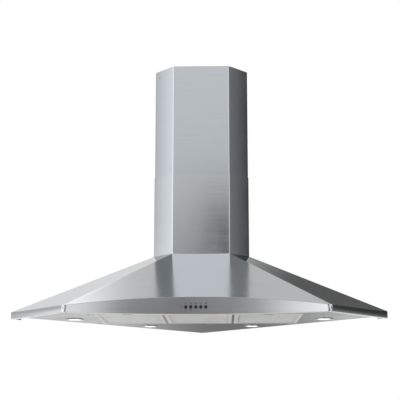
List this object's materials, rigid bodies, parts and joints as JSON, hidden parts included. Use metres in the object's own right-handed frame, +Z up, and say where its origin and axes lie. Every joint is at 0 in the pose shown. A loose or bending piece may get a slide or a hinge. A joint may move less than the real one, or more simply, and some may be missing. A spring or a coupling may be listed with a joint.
{
  "type": "corner chimney range hood",
  "caption": "Corner extractor hood with a concave front, telescopic chimney, drop-down grease filters, push buttons, lamps and a scroll fan with a damper collar",
  "frame": {"origin": "the line where the two walls meet, at the height of the hood's lower edge", "axes": "+Z up, +X to the right seen from the front, front faces -Y, the walls run along (1, -1) and (-1, -1)"},
  "size_m": [1.4142, 0.9405, 1.155],
  "materials": {
    "brushed_steel": "satin stainless steel with a fine grain",
    "underside_steel": "satin stainless steel of the underside",
    "galvanised_steel": "zinc coated sheet with a faint spangle",
    "filter_aluminium": "satin aluminium frame",
    "mesh_aluminium": "layers of expanded aluminium mesh",
    "chrome": "polished chrome",
    "steel_parts": "turned steel",
    "latch_plastic": "grey moulded plastic",
    "housing_plastic": "dark grey moulded plastic",
    "wheel_plastic": "black moulded plastic",
    "motor_steel": "grey painted motor can",
    "rubber": "black rubber",
    "black_plastic": "black moulded plastic",
    "lamp_glass": "frosted glass",
    "bulb_glass": "clear glass",
    "lens_plastic": "clear tinted lens"
  },
  "bodies": {
    "hood": {"canopy": "brushed_steel", "fascia": "brushed_steel", "lower_chimney": "brushed_steel", "underside_panel": "underside_steel", "back_panel_left": "galvanised_steel", "back_panel_right": "galvanised_steel", "roof_plate": "galvanised_steel", "wall_hook_left": "galvanised_steel", "wall_hook_right": "galvanised_steel", "chimney_wall_bracket": "galvanised_steel", "motor_bracket": "galvanised_steel", "fan_screws": "steel_parts", "underside_screws": "steel_parts", "motor_bearings": "steel_parts", "damper_pin": "steel_parts", "fan_housing_left": "housing_plastic", "fan_housing_right": "housing_plastic", "outlet_collar": "housing_plastic", "motor": "motor_steel", "motor_grommets": "rubber", "switch_block": "black_plastic", "control_box": "black_plastic", "control_box_lid": "black_plastic", "lamp_transformer": "black_plastic", "pilot_lens": "lens_plastic", "lamp_fitting_1": "chrome", "lamp_glass_1": "lamp_glass", "lamp_bulb_1": "bulb_glass", "lamp_fitting_2": "chrome", "lamp_glass_2": "lamp_glass", "lamp_bulb_2": "bulb_glass", "lamp_fitting_3": "chrome", "lamp_glass_3": "lamp_glass", "lamp_bulb_3": "bulb_glass", "lamp_fitting_4": "chrome", "lamp_glass_4": "lamp_glass", "lamp_bulb_4": "bulb_glass"},
    "upper_chimney": {"upper_chimney": "brushed_steel", "chimney_screws": "steel_parts"},
    "filter_left": {"filter_frame_left": "filter_aluminium", "filter_mesh_left": "mesh_aluminium", "filter_pins_left": "steel_parts"},
    "latch_left": {"filter_latch_left": "latch_plastic"},
    "filter_centre": {"filter_frame_centre": "filter_aluminium", "filter_mesh_centre": "mesh_aluminium", "filter_pins_centre": "steel_parts"},
    "latch_centre": {"filter_latch_centre": "latch_plastic"},
    "filter_right": {"filter_frame_right": "filter_aluminium", "filter_mesh_right": "mesh_aluminium", "filter_pins_right": "steel_parts"},
    "latch_right": {"filter_latch_right": "latch_plastic"},
    "button_1": {"button_1": "chrome"},
    "button_2": {"button_2": "chrome"},
    "button_3": {"button_3": "chrome"},
    "button_4": {"button_4": "chrome"},
    "button_5": {"button_5": "chrome"},
    "rotor": {"fan_wheel": "wheel_plastic", "motor_shaft": "steel_parts"},
    "flap_front": {"damper_flap_front": "housing_plastic"},
    "flap_rear": {"damper_flap_rear": "housing_plastic"}
  },
  "joints": [
    {"name": "upper_chimney_slide", "type": "slide", "parent": "hood", "child": "upper_chimney", "axis": [0, 0, 1], "range_m": [-0.29, 0]},
    {"name": "filter_left_hinge", "type": "hinge", "parent": "hood", "child": "filter_left", "pos_m": [-0.261, -0.439, 0.0146], "axis": [1, 0, 0], "range_deg": [0, 80]},
    {"name": "latch_left_slide", "type": "slide", "parent": "filter_left", "child": "latch_left", "axis": [0, 1, 0], "range_m": [0, 0.006], "stiffness_N_per_m": 250, "springref_m": -0.004},
    {"name": "filter_centre_hinge", "type": "hinge", "parent": "hood", "child": "filter_centre", "pos_m": [0, -0.439, 0.0146], "axis": [1, 0, 0], "range_deg": [0, 80]},
    {"name": "latch_centre_slide", "type": "slide", "parent": "filter_centre", "child": "latch_centre", "axis": [0, 1, 0], "range_m": [0, 0.006], "stiffness_N_per_m": 250, "springref_m": -0.004},
    {"name": "filter_right_hinge", "type": "hinge", "parent": "hood", "child": "filter_right", "pos_m": [0.261, -0.439, 0.0146], "axis": [1, 0, 0], "range_deg": [0, 80]},
    {"name": "latch_right_slide", "type": "slide", "parent": "filter_right", "child": "latch_right", "axis": [0, 1, 0], "range_m": [0, 0.006], "stiffness_N_per_m": 250, "springref_m": -0.004},
    {"name": "button_1_press", "type": "slide", "parent": "hood", "child": "button_1", "axis": [0, 1, 0], "range_m": [0, 0.003], "stiffness_N_per_m": 400, "springref_m": -0.003},
    {"name": "button_2_press", "type": "slide", "parent": "hood", "child": "button_2", "axis": [0, 1, 0], "range_m": [0, 0.003], "stiffness_N_per_m": 400, "springref_m": -0.003},
    {"name": "button_3_press", "type": "slide", "parent": "hood", "child": "button_3", "axis": [0, 1, 0], "range_m": [0, 0.003], "stiffness_N_per_m": 400, "springref_m": -0.003},
    {"name": "button_4_press", "type": "slide", "parent": "hood", "child": "button_4", "axis": [0, 1, 0], "range_m": [0, 0.003], "stiffness_N_per_m": 400, "springref_m": -0.003},
    {"name": "button_5_press", "type": "slide", "parent": "hood", "child": "button_5", "axis": [0, 1, 0], "range_m": [0, 0.003], "stiffness_N_per_m": 400, "springref_m": -0.003},
    {"name": "fan_spin", "type": "hinge", "parent": "hood", "child": "rotor", "pos_m": [0, -0.238, 0.165], "axis": [1, 0, 0], "continuous": true},
    {"name": "flap_front_hinge", "type": "hinge", "parent": "hood", "child": "flap_front", "pos_m": [0, -0.1705, 0.34], "axis": [1, 0, 0], "range_deg": [-80, 0]},
    {"name": "flap_rear_hinge", "type": "hinge", "parent": "hood", "child": "flap_rear", "pos_m": [0, -0.1705, 0.34], "axis": [1, 0, 0], "range_deg": [0, 80]}
  ]
}
